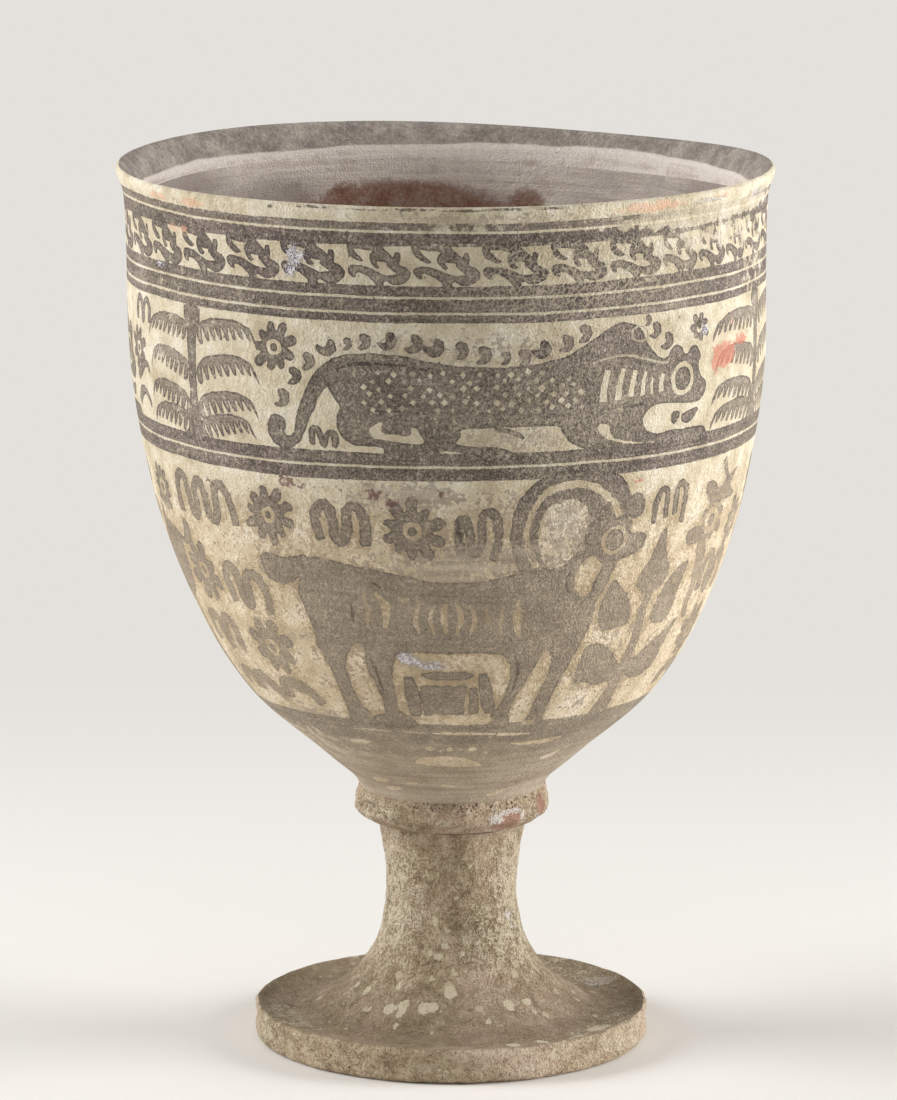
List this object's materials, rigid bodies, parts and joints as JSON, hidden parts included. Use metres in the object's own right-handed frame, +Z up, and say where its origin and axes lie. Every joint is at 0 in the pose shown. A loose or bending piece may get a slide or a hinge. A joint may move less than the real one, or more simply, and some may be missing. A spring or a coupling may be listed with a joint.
{
  "type": "stemmed chalice",
  "caption": "Deep upright-walled clay drinking bowl on a tapering cone, a collared hollow stem and a round disc foot.",
  "frame": {"origin": "centre of the foot's underside, on the ground", "axes": "+Z up along the turning axis; the front of the painted frieze faces -Y and +X is to the viewer's right"},
  "size_m": [0.1832, 0.1832, 0.25],
  "materials": {
    "painted_slip": "matte cream slip with dark painted friezes",
    "rim_slip": "matte cream slip, worn pink at the edge",
    "bowl_inside": "matte stained inside",
    "bare_clay": "matte bare buff clay with burial crust",
    "clay_slurry": "matte fired slurry"
  },
  "bodies": {
    "root": {"foot_disc": "bare_clay", "foot_luting": "clay_slurry", "stem": "bare_clay", "stem_luting": "clay_slurry", "bowl_base": "bowl_inside", "collar_ring": "bare_clay", "bowl_wall": "painted_slip", "rim_lip": "rim_slip"}
  },
  "joints": []
}
